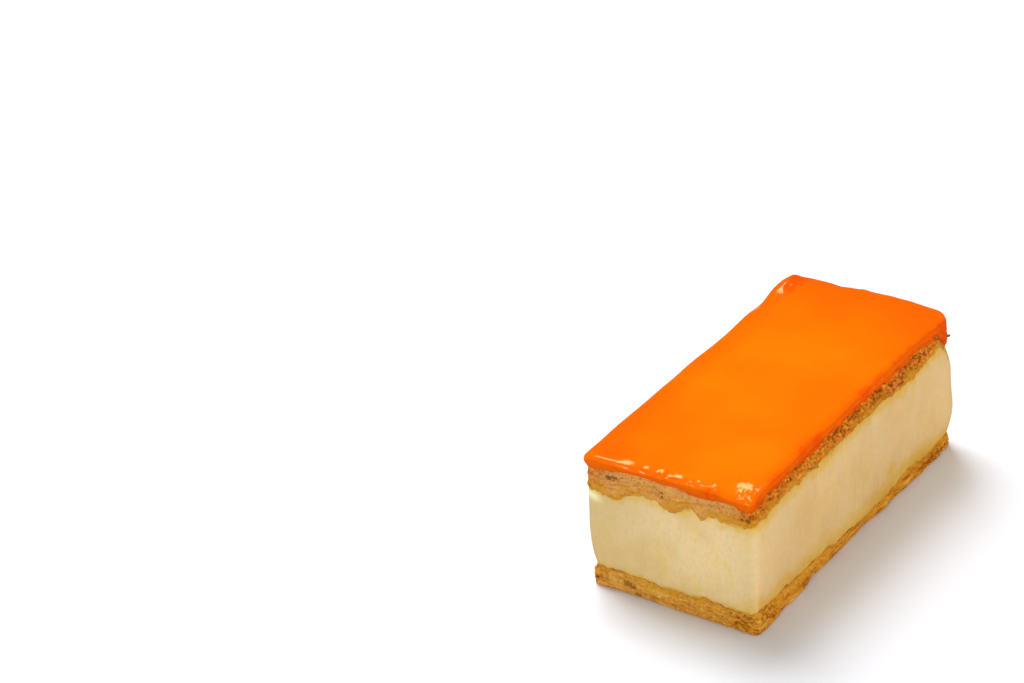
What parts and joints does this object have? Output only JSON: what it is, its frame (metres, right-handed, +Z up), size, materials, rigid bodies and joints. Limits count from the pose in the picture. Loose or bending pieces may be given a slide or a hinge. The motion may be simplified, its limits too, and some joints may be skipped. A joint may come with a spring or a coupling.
{
  "type": "tompouce pastry",
  "caption": "Oblong custard slice between two flaky sheets of puff pastry, topped with glossy orange icing that runs over the front edge.",
  "frame": {"origin": "on the surface that the pastry stands on, under the middle of its bounding box", "axes": "+X along the length, with the iced drip at the -X end; +Y across the width; +Z up through the layers"},
  "size_m": [0.108, 0.0526, 0.041],
  "materials": {
    "pastry": "baked puff pastry, matte and flaky, golden brown with darker edges, soaked and mustard coloured where it meets the custard",
    "custard": "set pastry cream, smooth cut face with faint streaks, soft sheen",
    "icing": "poured sugar icing, smooth and glossy, deeper orange red along its edges"
  },
  "bodies": {
    "root": {"base_pastry": "pastry", "custard": "custard", "lid_pastry": "pastry", "icing": "icing"}
  },
  "joints": []
}
